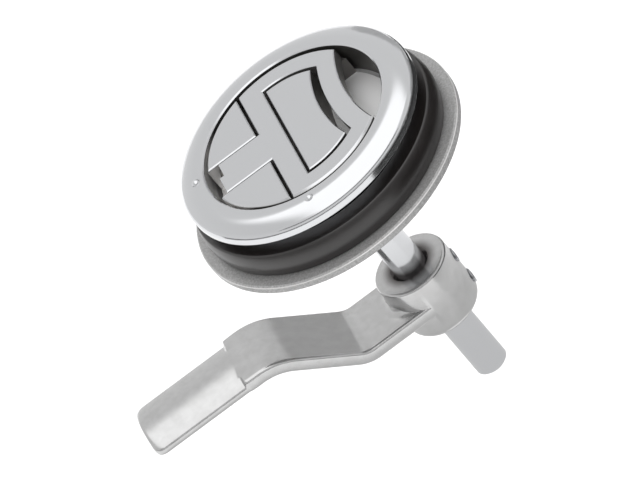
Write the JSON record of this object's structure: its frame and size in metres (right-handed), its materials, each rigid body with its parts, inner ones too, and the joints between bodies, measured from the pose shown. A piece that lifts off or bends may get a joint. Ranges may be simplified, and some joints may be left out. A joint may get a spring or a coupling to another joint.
{
  "type": "flush pull ring latch",
  "caption": "Round flush latch with a pull ring that lifts out of a turning rotor in a polished bezel, a thick deck gasket and clamp flange, and a shaft with a cranked cam arm.",
  "frame": {"origin": "on the turning axis, in the plane where the bezel's lip seats on the deck", "axes": "+Z out of the deck along the shaft, +X from the ring's hinge towards the finger recess"},
  "size_m": [0.131, 0.0856, 0.1097],
  "materials": {
    "polished_steel": "polished stainless steel with soft reflections",
    "cast_steel": "tumbled cast stainless steel, satin and faintly grainy",
    "plain_steel": "plain bright stainless steel",
    "black_rubber": "black moulded rubber with a dull sheen",
    "bronze": "turned bearing bronze",
    "white_nylon": "matte natural nylon"
  },
  "bodies": {
    "housing": {"bezel_housing": "polished_steel", "index_pins": "polished_steel", "deck_gasket": "black_rubber", "clamp_flange": "cast_steel", "clamp_screws": "plain_steel", "lock_washers": "plain_steel", "shaft_bush": "bronze", "shaft_seal": "black_rubber", "thrust_washer": "white_nylon", "stop_pin": "plain_steel", "wave_washer": "plain_steel"},
    "rotor": {"rotor": "polished_steel", "hinge_pin": "plain_steel", "ring_spring": "plain_steel", "drive_shaft": "polished_steel", "cross_pin": "plain_steel", "clip_washer": "plain_steel", "retaining_ring": "plain_steel"},
    "ring": {"pull_ring": "polished_steel"},
    "cam": {"cam_arm": "cast_steel", "set_screws": "plain_steel"}
  },
  "joints": [
    {"name": "rotor_turn", "type": "hinge", "parent": "housing", "child": "rotor", "pos_m": [0, 0, 0], "axis": [0, 0, 1], "range_deg": [0, 90]},
    {"name": "ring_lift", "type": "hinge", "parent": "rotor", "child": "ring", "pos_m": [-0.0223, 0, 0.0006], "axis": [0, -1, 0], "range_deg": [0, 90], "stiffness_Nm_per_rad": 0.01, "springref_deg": -28.65, "deforming": ["ring_spring"]},
    {"name": "cam_slide", "type": "slide", "parent": "rotor", "child": "cam", "axis": [0, 0, 1], "range_m": [-0.022, 0.026]}
  ]
}
